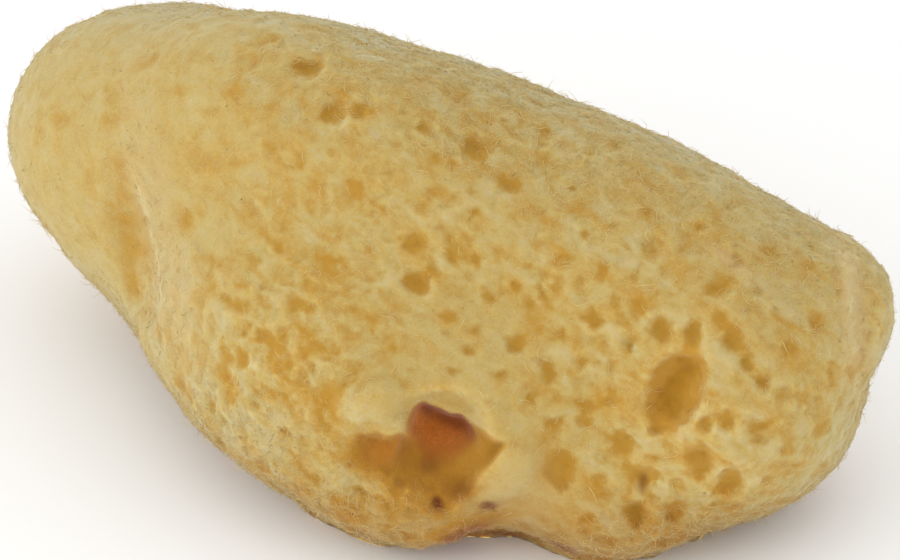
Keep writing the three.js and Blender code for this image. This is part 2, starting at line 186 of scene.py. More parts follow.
# Soft dents, whose amber is painted shade: how deep they are in each region, in millimetres, and then the
# pixel in the middle of each, its width and height in pixels, and its turn.
SOFT_DENT_DEPTHS = {
    "left band": 0.15,
    "upper left": 0.15,
    "left middle": 0.15,
    "crest": 0.35,
    "middle": 0.5,
    "right": 0.35,
}
SOFT_DENTS = {
    "left band": [
        (116, 97, 24, 32, 0), (114, 120, 26, 20, 0), (124, 168, 26, 40, 5), (131, 222, 18, 24, 0),
        (137, 250, 28, 16, 10), (157, 277, 14, 12, 0), (132, 290, 14, 14, 0), (160, 335, 16, 20, 0),
        (90, 180, 22, 30, 0), (62, 120, 30, 20, 0),
    ],
    "upper left": [
        (200, 160, 50, 30, 0), (236, 162, 26, 10, 0), (210, 112, 18, 10, 0), (235, 92, 22, 12, 0),
        (275, 107, 20, 12, 0), (345, 90, 24, 20, 0), (335, 152, 18, 10, -20), (397, 145, 14, 12, 0),
        (297, 167, 18, 9, -15), (295, 180, 14, 8, 0), (355, 185, 22, 12, -30), (150, 60, 34, 16, 20),
        (262, 40, 30, 12, -5), (180, 90, 20, 14, 0),
    ],
    "left middle": [
        (184, 220, 24, 22, 0), (200, 213, 20, 9, -30), (262, 231, 24, 12, -35), (277, 246, 30, 13, -30),
        (332, 260, 24, 9, -10), (370, 252, 22, 10, -40), (281, 276, 26, 12, -40), (306, 286, 22, 12, -40),
        (242, 282, 22, 12, -35), (297, 302, 30, 12, -35), (240, 306, 24, 14, -35), (377, 317, 20, 16, -30),
        (215, 262, 22, 12, -35), (320, 235, 22, 10, -35), (350, 335, 26, 14, -35), (262, 335, 30, 14, -35),
        (200, 320, 22, 16, -30), (305, 355, 24, 14, -35), (225, 375, 26, 14, -40), (180, 380, 18, 22, 0),
        (395, 350, 22, 12, -30), (275, 395, 22, 12, -35), (320, 420, 20, 12, -30), (240, 430, 24, 14, -35),
        (300, 460, 20, 12, -20),
    ],
    "crest": [
        (461, 94, 12, 10, 0), (447, 130, 12, 10, 0), (435, 156, 14, 8, -40), (452, 163, 16, 8, -40),
        (470, 190, 18, 9, -30), (522, 120, 8, 26, -5), (501, 87, 16, 14, 0), (545, 130, 10, 12, 0),
        (550, 187, 12, 14, 0), (575, 212, 18, 18, 0), (590, 152, 12, 16, 0), (579, 132, 12, 8, 0),
        (562, 117, 12, 10, 0), (615, 145, 14, 16, 0), (647, 212, 16, 8, 0), (612, 225, 12, 8, 0),
        (584, 235, 14, 12, 0), (680, 175, 18, 14, 0), (730, 205, 16, 12, 0), (700, 225, 14, 10, 0),
        (770, 250, 20, 12, -20), (810, 265, 16, 12, 0),
    ],
    "middle": [
        (475, 212, 14, 12, 0), (432, 270, 16, 22, 20), (452, 260, 12, 18, 20), (476, 260, 12, 18, 20),
        (515, 286, 8, 16, 30), (557, 287, 13, 16, 20), (542, 293, 10, 24, 30), (562, 260, 22, 16, 20),
        (581, 280, 14, 12, 20), (600, 272, 16, 22, 10), (487, 297, 12, 22, 25), (450, 317, 18, 16, 0),
        (664, 272, 9, 14, 0), (736, 260, 16, 22, 0), (475, 330, 18, 12, 0), (560, 335, 14, 20, 15),
        (615, 300, 14, 22, 10), (640, 305, 12, 20, 10), (500, 375, 20, 14, 0), (470, 350, 20, 12, 0),
        (580, 365, 16, 16, 0), (610, 400, 18, 16, 0), (555, 425, 20, 16, 0), (600, 480, 22, 18, 0),
        (590, 520, 20, 14, 0),
    ],
    "right": [
        (720, 320, 16, 22, 0), (790, 350, 18, 18, 0), (815, 320, 14, 20, 0), (800, 400, 22, 18, 0),
        (830, 370, 14, 22, 0), (785, 450, 20, 16, 20), (820, 430, 16, 20, 0), (650, 460, 14, 16, 0),
        (680, 485, 16, 14, 0), (770, 480, 22, 12, 20), (710, 510, 20, 14, 10), (610, 540, 18, 8, 0),
        (840, 290, 10, 24, 0),
    ],
}

# Rust-brown painted shade below the cave, in its pits, in the valley under the bottom edge and at the foot.
RECESS_SHADE_PATCHES = [
    ("cave floor", (425, 495), 90, 60, 10, 0.3),
    ("cave pit", (460, 490), 32, 24, 10, 0.42),
    ("valley", (468, 528), 84, 22, 14, 0.5),
    ("foot left", (636, 518), 18, 22, 20, 0.4),
]

# Dark red-brown painted shadow: that under the cave's roof, which ends at its edge, and spots in pits and
# slits.
ROOF_SHADOW_SPOTS = [
    ("roof notch", (430, 407), 20, 20, 0, 0.85),
    ("roof line", (452, 419), 60, 18, -25, 0.75),
    ("roof corner", (471, 429), 24, 18, -55, 0.55),
]
SHADOW_SPOTS = [
    ("cave spot", (428, 465), 22, 18, 0, 0.4),
    ("cave pit", (460, 490), 30, 22, 10, 0.35),
    ("spot left", (400, 484), 10, 8, 0, 0.35),
    ("cave slit", (438, 504), 11, 16, 25, 0.9),
    ("side pit", (489, 506), 17, 9, 0, 0.85),
    ("valley left", (462, 536), 56, 12, 22, 0.8),
    ("valley right", (500, 534), 50, 8, -8, 0.6),
    ("foot speck", (565, 548), 26, 7, -18, 0.7),
    ("slot", (643, 483), 9, 18, -10, 0.45),
    ("kidney dark spot", (690, 368), 8, 8, 0, 0.25),
    ("kidney foot", (655, 432), 12, 10, 0, 0.15),
]

# A painted sheen on the fuzzy edges and crests of lobes.
SHEEN_EDGES = [
    ("left lobe", (150, 190), 44, 150, 12, 0.4),
    ("left lobe low", (172, 290), 48, 140, 12, 0.4),
    ("right end", (854, 300), 26, 120, 6, 0.7),
    ("right crest", (735, 265), 60, 14, -40, 0.5),
    ("foot crest", (512, 470), 30, 80, -38, 0.2),
    ("lump", (524, 492), 50, 60, 0, 0.25),
]

# A pit's depth under the closed outline levels off, because fibres span it: where it levels off in narrow
# pits and in wide ones, the width in millimetres that makes a mouth wide, and how far past it that reaches.
NARROW_DEEPEST = 1.15 * MM
WIDE_DEEPEST = 2.2 * MM
WIDE_MOUTH = 3.4
WIDE_MARGIN = 1.3

# The cave's middle, how far around it the cave is filled first, how far that filling stays below the outline,
# and how far behind the cave's middle its shape may reach.
CAVE_PIXEL = (440, 428)
CAVE_PLUG = 11 * MM
PLUG_BELOW = 0.15 * MM
CAVE_BEHIND = 12 * MM

# The cave and the floor in front of it, as outlines in the picture. Each is convex and goes round with the
# clock: a corner's pixel and how soft the edge that starts there is, in pixels. Before them come how far the
# shape is pressed in along the view, in millimetres, and how strongly painted shade darkens it. The depths
# add up.
CAVE_PARTS = [
    ("cave", 1.8, 1.0, [
        (400, 436, 9), (413, 408, 6), (429, 400, 5), (468, 418, 7), (480, 436, 18), (468, 476, 54),
        (415, 476, 20),
    ]),
    ("floor", 1.4, 0.4, [
        (392, 440, 8), (414, 408, 5), (429, 400, 5), (470, 419, 5), (507, 446, 4), (464, 503, 14),
        (440, 530, 60), (385, 520, 40), (370, 480, 26),
    ]),
    ("under the flap", 1.4, 0.6, [
        (345, 434, 9), (362, 431, 7), (412, 432, 14), (430, 470, 35), (370, 495, 40), (335, 465, 26),
    ]),
]

# Waves in those outlines, a broad one and a fine one: their height and their lengths in pixels.
BROAD_WAVE = 2
FINE_WAVE = 1.2
WAVE_LENGTHS = (9, 8, 3.3)

# The painted shade grows from an edge faster than the depth does, by this power, and the painted shadow
# under the roof comes in from its edge this many times as fast as the depth.
RECESS_SHADE_POWER = 0.4
ROOF_EDGE = 4

# A crease of the left lobe that is smoothed away: the pixel in its middle, width and height in pixels, turn.
SMOOTHED = ((150, 250), 70, 330, 10)
SMOOTHINGS = 60

# Where the felt is calmer or rougher than elsewhere: the pixel in the middle, the radius in millimetres and
# how strong the relief is there.
ZONES = [
    ("left end", (60, 120), 24, 0.4),
    ("front left ridge", (190, 160), 12, 0.7),
    ("upper band", (640, 150), 14, 0.8),
    ("upper band right", (790, 240), 14, 0.8),
    ("middle", (570, 290), 12, 1.15),
    ("round the mouths", (680, 430), 18, 1.05),
    ("above the cave", (470, 360), 10, 0.6),
    ("lower left", (270, 450), 14, 1.8),
    ("below the cave", (420, 515), 8, 1.8),
    ("right foot", (670, 535), 10, 1.4),
    ("cave", (440, 430), 6, 0.4),
    ("flap", (370, 405), 5, 0.5),
    ("lump", (525, 488), 5, 0.35),
]

# The strength at which the finer noise is at its fullest, and the most that the colour's mottle grows to.
ROUGHEST = 1.3
STRONGEST_RELIEF = 1.8

# How many random places are tried for each that is kept, when places keep a distance from each other.
TRIES = 5

# Pores pressed in on the sides that the view doesn't reach: how far apart, how wide and how deep they are,
# how far small ones outnumber large ones and how long they are to their width. Then how far a hidden side may
# face the eye and how far a seen one must.
PORE_SPACING = 4.0 * MM
PORE_WIDTHS = (1.0 * MM, 3.0 * MM)
PORE_DEPTHS = (0.5 * MM, 1.6 * MM)
PORE_SMALLNESS = 1.6
PORE_STRETCH = (1, 1.5)
PORE_SEED = 11
HIDDEN_FACING = 0.1
SEEN_FACING = 0.3

# Dents pressed in side by side, so that thin walls stand between them: how far apart they are, their width as
# a share of that, their depth and their length to their width.
DENTS = [
    dict(apart=3.4 * MM, widths=(0.7, 1.4), depths=(0.03 * MM, 0.3 * MM), stretch=(1.0, 2.4), seed=3),
    dict(apart=1.7 * MM, widths=(0.9, 1.5), depths=(0.02 * MM, 0.14 * MM), stretch=(1.0, 1.8), seed=4),
    dict(apart=0.9 * MM, widths=(1.1, 1.5), depths=(0.02 * MM, 0.07 * MM), stretch=(1.0, 1.4), seed=5),
]
GRAIN_TURN = math.radians(-42)
GRAIN_SPREAD = 0.45
GRAIN = VIEW_RIGHT * math.cos(GRAIN_TURN) + VIEW_UP * math.sin(GRAIN_TURN)

# The felt's finer relief, as noise of this size and strength.
UNEVEN = dict(size=1.8 * MM, strength=0.45 * MM)
FIBRES = dict(size=0.6 * MM, strength=0.2 * MM)

# The fuzz of fibre ends: number, pieces in each, how far they stand up, how much they curl, length and
# thickness.
LONG = dict(count=8800, segments=4, lift=0.22, curl=1.5)
FELT = dict(count=19400, segments=2, lift=0.22, curl=0.8, lengths=(0.4 * MM, 1.0 * MM), thick=0.06 * MM)
FUZZ = [
    dict(name="fuzz_long_a", seed=21, lengths=(0.8 * MM, 2.6 * MM), thick=0.09 * MM, **LONG),
    dict(name="fuzz_long_b", seed=22, lengths=(0.6 * MM, 1.8 * MM), thick=0.07 * MM, **LONG),
    dict(name="fuzz_felt_a", seed=23, **FELT),
    dict(name="fuzz_felt_b", seed=24, **FELT),
]

# How the lift varies, how far a fibre tapers, how much it kinks and droops at each joint, how much of a bend
# and a kink is laid flat, and what sets a fibre's side askew, so that it is never zero.
LIFT_SPREAD = (0.4, 1.6)
TAPER = 0.75
KINK = 0.3
DROOP = 0.1
BEND_FLATTENED = 0.8
KINK_FLATTENED = 0.7
ASKEW = 0.3

# The fuzz thins out into the pits, from more than its full thickness to the least, and keeps this far above
# the cut and this close to the solid's box. A band above the cut has none.
PIT_FUZZ = 1.2
LEAST_FUZZ = 0.05
FUZZ_OVER_CUT = 0.02 * MM
FUZZ_PAST_BOX = 0.3 * MM
CUT_BAND = 0.3 * MM

# What a point's colour goes by: the depth at which painted shade starts to darken a hollow and how much
# deeper it is darkest, the height of a ridge, how high the painted shade at the foot reaches and how strong
# it is at the cut.
HOLLOW_STARTS = 0.3 * MM
HOLLOW_DEEP = 2.2 * MM
RIDGE = 0.12 * MM
FOOT_HEIGHT = 13 * MM
FOOT_STRENGTH = 1.3

# How strongly painted shade greys and darkens the felt: a little everywhere, towards the upper right, at a
# glancing angle to the eye and with the square of that angle. Then how much right counts beside up, and the
# share of it that a deep hollow lacks.
RIM_SHADE_WEIGHTS = (0.08, 0.2, 0.25, 0.8)
RIGHT_TO_UP = 0.4
RIM_SHADE_LACKED = 0.8

# Spongin's colours, each with the place on its ramp: the felt from its ridges to its deepest hollows, where
# amber painted shade deepens, the painted shade of recesses from faint to strong, and the loose fibres from
# the open to the pits, where painted shade darkens them. The felt starts at this place on its ramp.
FELT_START = 0.39
FELT_AND_PIT_SHADE_COLOURS = [
    (0.1, "#c9b680"),
    (0.24, "#c7ad69"),
    (0.36, "#c4a054"),
    (0.48, "#c1953d"),
    (0.7, "#c4953a"),
    (1.0, "#b98a2b"),
]
RECESS_SHADE_COLOURS = [(0.2, "#b58730"), (0.42, "#ad7d28"), (0.81, "#b36f2a"), (1.0, "#cb7b31")]
FIBRE_AND_PIT_SHADE_COLOURS = [(0.15, "#dfc78c"), (0.7, "#c08f3c")]
# A cool grey filter for the painted shade at the rims and towards the upper right.
RIM_SHADE_FILTER = "#cbd7f0"
# A brown filter for the painted shade near the bottom.
FOOT_SHADE_FILTER = "#ddc095"
# The colour of the painted sheen on lobe edges.
PAINTED_SHEEN_COLOUR = "#cbb585"
# The dark red-brown of the painted shadow.
SHADOW_BROWN = "#74341a"
# The painted shade of the cave and its floor, on the fibres.
FIBRE_RECESS_SHADE = "#a8622a"

# The studio: an even white world, a square light up and to the left of the eye, and a floor of white paper.
WORLD_STRENGTH = 1.02
LIGHT_SIZE = 0.5
LIGHT_POWER = 0.92
LIGHT_PLACE = TO_EYE * 0.5 - VIEW_RIGHT * 0.48 + VIEW_UP * 0.1
FLOOR_SIZE = 4
CLIP = (0.01, 10)


def deselect():
    bpy.ops.object.select_all(action="DESELECT")


def select_only(piece):
    deselect()
    piece.select_set(True)
    bpy.context.view_layer.objects.active = piece


def apply_modifier(piece, kind, **settings):
    """Adds a modifier with its settings and applies it."""
    select_only(piece)
    modifier = piece.modifiers.new(kind.lower(), kind)
    for name, value in settings.items():
        setattr(modifier, name, value)
    bpy.ops.object.modifier_apply(modifier=modifier.name)


def copied(piece, name):
    twin = piece.copy()
    twin.data = piece.data.copy()
    twin.name = name
    twin.parent = None
    for key in list(twin.keys()):
        del twin[key]
    twin.hide_render = twin.hide_viewport = False
    bpy.context.scene.collection.objects.link(twin)
    return twin


def points_of(piece):
    places = np.zeros(len(piece.data.vertices) * 3, np.float32)
    piece.data.vertices.foreach_get("co", places)
    return places.reshape(-1, 3).astype(float)


def set_points(piece, places):
    piece.data.vertices.foreach_set("co", places.astype(np.float32).ravel())
    piece.data.update()


def normals_of(piece):
    normals = np.zeros(len(piece.data.vertices) * 3, np.float32)
    piece.data.vertices.foreach_get("normal", normals)
    return normals.reshape(-1, 3).astype(float)


def mesh_piece(name, points, faces):
    """A piece from its points and its faces, which all have the same number of corners."""
    mesh = bpy.data.meshes.new(name)
    mesh.vertices.add(len(points))
    mesh.vertices.foreach_set("co", points.astype(np.float32).ravel())
    mesh.loops.add(faces.size)
    mesh.loops.foreach_set("vertex_index", faces.astype(np.int32).ravel())
    mesh.polygons.add(len(faces))
    mesh.polygons.foreach_set("loop_start", np.arange(0, faces.size, faces.shape[1], dtype=np.int32))
    mesh.update(calc_edges=True)
    piece = bpy.data.objects.new(name, mesh)
    bpy.context.scene.collection.objects.link(piece)
    return piece


def cloud(name, size, depth=1):
    texture = bpy.data.textures.new(name, "CLOUDS")
    texture.noise_scale = size
    texture.noise_depth = depth
    return texture


def tree_of(piece):
    return BVHTree.FromObject(piece, bpy.context.evaluated_depsgraph_get())


def kd_tree(places):
    tree = KDTree(len(places))
    for i, place in enumerate(places):
        tree.insert(place, i)
    tree.balance()
    return tree


def seen_at(tree, pixel):
    """The place and the normal where the view through a pixel meets a piece."""
    ray = -TO_EYE * PIXELS_PER_MM * DISTANCE / MM
    ray += VIEW_RIGHT * (pixel[0] - PICTURE_MIDDLE[0])
    ray += VIEW_UP * (PICTURE_MIDDLE[1] - pixel[1])
    place, normal, _, _ = tree.ray_cast(EYE, ray.normalized())
    return place, normal


def sponge_body():
    """The CAD sponge as an even skin, with its foot let down below the cut so that the cut stays crisp."""
    body = copied(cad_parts["sponge"], "body")
    select_only(body)
    bpy.ops.object.mode_set(mode="EDIT")
    bpy.ops.mesh.select_all(action="SELECT")
    bpy.ops.mesh.remove_doubles(threshold=MERGE)
    bpy.ops.object.mode_set(mode="OBJECT")
    places = points_of(body)
    places[places[:, 2] < ON_CUT, 2] = -BELOW_CUT
    set_points(body, places)
    apply_modifier(body, "REMESH", mode="VOXEL", voxel_size=BODY_VOXEL)
    apply_modifier(body, "SMOOTH", factor=0.5, iterations=8)
    return body


def closed_hull(body):
    """The body with its hollows closed over: swollen, joined up and shrunk again."""
    hull = copied(body, "hull")
    apply_modifier(hull, "DISPLACE", strength=SWELL, mid_level=0)
    apply_modifier(hull, "REMESH", mode="VOXEL", voxel_size=HULL_VOXEL)
    apply_modifier(hull, "SMOOTH", factor=0.5, iterations=10)
    apply_modifier(hull, "DISPLACE", strength=-SWELL, mid_level=0)
    weigh_points(hull, "creased", seen_patch(points_of(hull), tree_of(hull), *SMOOTHED))
    apply_modifier(hull, "SMOOTH", factor=0.5, iterations=SMOOTHINGS, vertex_group="creased")
    return hull


def triangles_of(piece):
    piece.data.calc_loop_triangles()
    corners = np.zeros(len(piece.data.loop_triangles) * 3, np.int32)
    piece.data.loop_triangles.foreach_get("vertices", corners)
    return corners.reshape(-1, 3)


def spots_on(piece, count, rng, weight=None):
    """Random places on a piece, their normals and the number of the point nearest to each."""
    corners = triangles_of(piece)
    a, b, c = (points_of(piece)[corners[:, i]] for i in range(3))
    cross = np.cross(b - a, c - a)
    area = np.linalg.norm(cross, axis=1) / 2
    share = area if weight is None else area * weight[corners].mean(axis=1)
    chosen = rng.choice(len(corners), count, p=share / share.sum())
    u, v = rng.random(count), rng.random(count)
    flip = u + v > 1
    u[flip], v[flip] = 1 - u[flip], 1 - v[flip]
    spots = a[chosen] + (b - a)[chosen] * u[:, None] + (c - a)[chosen] * v[:, None]
    return spots, cross[chosen] / (2 * area[chosen, None]), corners[chosen, 0]


def spread_over(body, spacing, seed):
    """Seeded places on a body's skin that keep a spacing from each other, with their normals."""
    rng = np.random.default_rng(seed)
    area = sum(face.area for face in body.data.polygons)
    spots, normals, _ = spots_on(body, int(area / spacing**2 * TRIES), rng)
    cells = {}
    kept = []
    for i, spot in enumerate(spots):
        cell = tuple((spot // spacing).astype(int))
        near = (
            j
            for x in (-1, 0, 1) for y in (-1, 0, 1) for z in (-1, 0, 1)
            for j in cells.get((cell[0] + x, cell[1] + y, cell[2] + z), ())
        )
        if all(np.sum((spots[j] - spot) ** 2) > spacing**2 for j in near):
            cells.setdefault(cell, []).append(i)
            kept.append(i)
    return spots[kept], normals[kept]


def pit_seen_at(tree, pixel, wide, high, turn, deep):
    """A pit that the view shows: its place, the way out, its two half sizes as arrows and its depth."""
    place, normal = seen_at(tree, pixel)
    side = (VIEW_RIGHT - normal * normal.dot(VIEW_RIGHT)).normalized()
    side = Matrix.Rotation(math.radians(turn), 3, normal) @ side
    return place, normal, side / (wide / 2), normal.cross(side) / (high / 2), deep


def pits_of(hull, body):
    """The seen pits, the soft dents and the hidden pores."""
    tree = tree_of(hull)
    pits = []
    for _, pixel, wide, high, deep, turn in SEEN_PITS:
        pits.append(pit_seen_at(tree, pixel, wide * MM, high * MM, turn, deep * MM * PRESSED_SHARE))
    for region, rows in SOFT_DENTS.items():
        for x, y, wide, high, turn in rows:
            size = MM / PIXELS_PER_MM
            deep = SOFT_DENT_DEPTHS[region] * MM
            pits.append(pit_seen_at(tree, (x, y), wide * size, high * size, turn, deep))
    rng = np.random.default_rng(PORE_SEED)
    for spot, way_out in zip(*spread_over(body, PORE_SPACING, PORE_SEED)):
        normal = Vector(way_out)
        if normal.dot(TO_EYE) > HIDDEN_FACING:
            continue
        size = rng.random() ** PORE_SMALLNESS
        wide = PORE_WIDTHS[0] + (PORE_WIDTHS[1] - PORE_WIDTHS[0]) * size
        deep = PORE_DEPTHS[0] + (PORE_DEPTHS[1] - PORE_DEPTHS[0]) * size
        side = normal.cross(Vector(rng.normal(size=3))).normalized()
        up = normal.cross(side)
        high = wide * rng.uniform(*PORE_STRETCH)
        pits.append((Vector(spot), normal, side / (wide / 2), up / (high / 2), deep))
    return pits


def seen_patch(places, tree, pixel, wide, high, turn):
    """How strongly each place lies in a soft oval patch seen from the front: 1 in its middle."""
    middle, _ = seen_at(tree, pixel)
    turned = Matrix.Rotation(math.radians(turn), 3, TO_EYE)
    from_middle = (places - np.array(middle)) * PIXELS_PER_MM / MM
    x = from_middle @ np.array(turned @ VIEW_RIGHT) / (wide / 2)
    y = from_middle @ np.array(turned @ VIEW_UP) / (high / 2)
    near = np.abs(from_middle @ np.array(TO_EYE)) < PATCH_REACH
    return np.where(near, np.exp(-PATCH_FADE * (x**2 + y**2) ** 1.5), 0)


def strongest_patch(places, tree, rows):
    """How strongly each place is marked by patches that each have a strength of their own."""
    marked = np.zeros(len(places))
    for _, pixel, wide, high, turn, strength in rows:
        marked = np.maximum(marked, strength * seen_patch(places, tree, pixel, wide, high, turn))
    return marked


def press_pits(skin, hull, body):
    """Presses the pits in as bowls with uneven outlines."""
    rng = np.random.default_rng(PORE_SEED)
    places = points_of(skin)
    facing = normals_of(skin)
    tree = kd_tree(places)
    push = np.zeros((len(places), 3))
    for place, normal, side, up, deep in pits_of(hull, body):
        far = PIT_MARGIN / min(side.length, up.length)
        near = np.array([i for _, i, _ in tree.find_range(place - normal * far / 2, far * PIT_MARGIN)], int)
        if not len(near):
            continue
        near = near[facing[near] @ np.array(normal) > -SIDEWAYS]
        x = (places[near] - np.array(place)) @ np.array(side)
        y = (places[near] - np.array(place)) @ np.array(up)
        angle = np.arctan2(y, x)
        starts = rng.uniform(0, 2 * math.pi, len(MOUTH_WAVES))
        waves = (high * np.sin(n * angle + start) for (n, high), start in zip(MOUTH_WAVES, starts))
        reach = np.hypot(x, y) * sum(waves, 1)
        push[near] -= (deep * np.clip(1 - reach**3, 0, 1))[:, None] * np.array(normal)
    set_points(skin, places + push)


def level_pits(skin, hull):
    """Fills the deeper pits part way."""
    tree = tree_of(hull)
    places = points_of(skin)
    in_wide = np.zeros(len(places))
    for _, pixel, wide, high, _, turn in SEEN_PITS:
        if max(wide, high) > WIDE_MOUTH:
            across = WIDE_MARGIN * PIXELS_PER_MM
            patch = seen_patch(places, tree, pixel, wide * across, high * across, turn)
            in_wide = np.maximum(in_wide, patch)
    deepest = NARROW_DEEPEST + (WIDE_DEEPEST - NARROW_DEEPEST) * in_wide
    for i, place in enumerate(places):
        place = Vector(place)
        near, normal, _, _ = tree.find_nearest(place)
        depth = (near - place).dot(normal)
        if depth > 0:
            fill = depth - deepest[i] * (1 - math.exp(-depth / deepest[i]))
            places[i] = place + (near - place) * (fill / depth)
    set_points(skin, places)


def plug_cave(body, hull):
    """Fills the cave up to just under the outline, so that the shape in the view can be pressed in."""
    cave, _ = seen_at(tree_of(hull), CAVE_PIXEL)
    plug = copied(hull, "plug")
    apply_modifier(plug, "DISPLACE", strength=-PLUG_BELOW, mid_level=0)
    bpy.ops.mesh.primitive_ico_sphere_add(subdivisions=4, radius=CAVE_PLUG, location=cave)
    ball = bpy.context.object
    apply_modifier(plug, "BOOLEAN", operation="INTERSECT", object=ball, solver="MANIFOLD")
    apply_modifier(body, "BOOLEAN", operation="UNION", object=plug, solver="MANIFOLD")
    bpy.data.objects.remove(ball)
    bpy.data.objects.remove(plug)


def cave_share(places, hull, corners):
    """How far each place lies inside one part of the cave: 1 inside it, 0 outside it and on the far side."""
    cave, _ = seen_at(tree_of(hull), CAVE_PIXEL)
    ray = places - np.array(EYE)
    pixels = -PIXELS_PER_MM * DISTANCE / MM / (ray @ np.array(TO_EYE))
    x = PICTURE_MIDDLE[0] + ray @ np.array(VIEW_RIGHT) * pixels
    y = PICTURE_MIDDLE[1] - ray @ np.array(VIEW_UP) * pixels
    down, broad, fine = (np.sin(line / length) for line, length in zip((y, x, x), WAVE_LENGTHS))
    x, y = x + BROAD_WAVE * down, y + BROAD_WAVE * broad + FINE_WAVE * fine
    share = np.ones(len(places))
    for (x0, y0, soft), (x1, y1, _) in zip(corners, corners[1:] + corners[:1]):
        inside = ((x1 - x0) * (y - y0) - (y1 - y0) * (x - x0)) / math.hypot(x1 - x0, y1 - y0)
        part = np.clip(inside / soft, 0, 1)
        share *= part**2 * (3 - 2 * part)
    share[(places - np.array(cave)) @ np.array(TO_EYE) < -CAVE_BEHIND] = 0
    return share


def press_cave(piece, hull):
    """Presses the cave and its floor in along the view, which leaves a roof with a crisp edge."""
    places = points_of(piece)
    deep = sum(depth * MM * cave_share(places, hull, corners) for _, depth, _, corners in CAVE_PARTS)
    ray = places - np.array(EYE)
    set_points(piece, places - ray / (ray @ np.array(TO_EYE))[:, None] * deep[:, None])


def weigh_points(piece, name, weights):
    """Adds a vertex group, for modifiers that work more strongly on some points than on others."""
    group = piece.vertex_groups.new(name=name)
    for i in np.nonzero(weights > 0.01)[0]:
        group.add([int(i)], float(weights[i]), "REPLACE")


def zone_strengths(places, hull):
    """How strong the relief is at each place: 1 outside all the zones."""
    tree = tree_of(hull)
    strengths = np.ones(len(places))
    for _, pixel, radius, strength in ZONES:
        middle, _ = seen_at(tree, pixel)
        away = np.linalg.norm(places - np.array(middle), axis=1) / (radius * MM)
        strengths *= strength ** np.exp(-away**2)
    return strengths


def press_dents(skin, body, hull, apart, widths, depths, stretch, seed):
    """Presses dents in side by side. Where two overlap the deeper one holds, which leaves a sharp wall."""
    rng = np.random.default_rng(seed)
    spots, normals = spread_over(body, apart, seed)
    strengths = zone_strengths(spots, hull)
    places = points_of(skin)
    facing = normals_of(skin)
    tree = kd_tree(places)
    pressed = np.zeros(len(places))
    inward = np.zeros((len(places), 3))
    for spot, normal, strength in zip(spots, normals, strengths):
        wide = apart * rng.uniform(*widths)
        long = wide * rng.uniform(*stretch)
        deep = rng.uniform(*depths) * strength
        along = np.array(GRAIN) + rng.normal(size=3) * GRAIN_SPREAD
        along -= normal * along.dot(normal)
        along /= np.linalg.norm(along)
        across = np.cross(normal, along)
        near = np.array([i for _, i, _ in tree.find_range(spot - normal * SKIN_INSET, long)], int)
        near = near[facing[near] @ normal > SIDEWAYS] if len(near) else near
        if not len(near):
            continue
        from_spot = places[near] - spot
        reach = (from_spot @ across / (wide / 2)) ** 2 + (from_spot @ along / (long / 2)) ** 2
        push = deep * (1 - reach)
        stronger = push > pressed[near]
        pressed[near[stronger]] = push[stronger]
        inward[near[stronger]] = -normal
    set_points(skin, places + inward * pressed[:, None])


def roughen(skin, name, size, strength):
    apply_modifier(
        skin, "DISPLACE", strength=strength, mid_level=0.5, texture=cloud(name, size), vertex_group="rough",
    )


def skin_of(body, hull):
    """The skin with its pits pressed in, its felt raised and the flat cut made."""
    skin = copied(body, "skin")
    apply_modifier(skin, "DISPLACE", strength=-SKIN_INSET, mid_level=0)
    apply_modifier(skin, "REMESH", mode="VOXEL", voxel_size=SKIN_VOXEL)
    press_pits(skin, hull, body)
    level_pits(skin, hull)
    press_cave(skin, hull)
    press_cave(body, hull)
    apply_modifier(skin, "REMESH", mode="VOXEL", voxel_size=SKIN_VOXEL)
    weigh_points(skin, "creased", seen_patch(points_of(skin), tree_of(hull), *SMOOTHED))
    weigh_points(skin, "rough", np.clip(zone_strengths(points_of(skin), hull) / ROUGHEST, 0, 1))
    apply_modifier(skin, "SMOOTH", factor=0.5, iterations=3)
    apply_modifier(skin, "SMOOTH", factor=0.5, iterations=SMOOTHINGS, vertex_group="creased")
    roughen(skin, "uneven", **UNEVEN)
    for dents in DENTS:
        press_dents(skin, body, hull, **dents)
    apply_modifier(skin, "SMOOTH", factor=0.4, iterations=1)
    roughen(skin, "fibres", **FIBRES)
    bpy.ops.mesh.primitive_cube_add(size=ROCK, location=(0, 0, -ROCK / 2))
    rock = bpy.context.object
    apply_modifier(skin, "BOOLEAN", operation="DIFFERENCE", object=rock, solver="MANIFOLD")
    bpy.data.objects.remove(rock)
    select_only(skin)
    triangles = sum(len(face.vertices) - 2 for face in skin.data.polygons)
    apply_modifier(skin, "DECIMATE", ratio=min(1, SKIN_TRIANGLES / triangles))
    bpy.ops.object.shade_smooth()
    return skin


def hollow_depths(piece, hull):
    """How far below the closed hull each point of a piece lies."""
    tree = tree_of(hull)
    depths = []
    for place in points_of(piece):
        near, normal, _, _ = tree.find_nearest(Vector(place))
        depths.append(max(0.0, (near - Vector(place)).dot(normal)))
    return np.array(depths)


def ridge_heights(piece):
    """How far each point stands above its smoothed surroundings, from 1 on a ridge to -1 in a crease."""
    smooth = copied(piece, "smooth")
    apply_modifier(smooth, "SMOOTH", factor=0.5, iterations=10)
    above = ((points_of(piece) - points_of(smooth)) * normals_of(smooth)).sum(axis=1)
    bpy.data.objects.remove(smooth)
    return np.clip(above / RIDGE, -1, 1)


def add_attribute(piece, name, values):
    attribute = piece.data.attributes.new(name, "FLOAT", "POINT")
    attribute.data.foreach_set("value", values.astype(np.float32))


def outward_of(places, hull):
    """The hull's even normal near each place."""
    normals = normals_of(hull)
    tree = kd_tree(points_of(hull))
    return normals[[tree.find(place)[1] for place in places]]


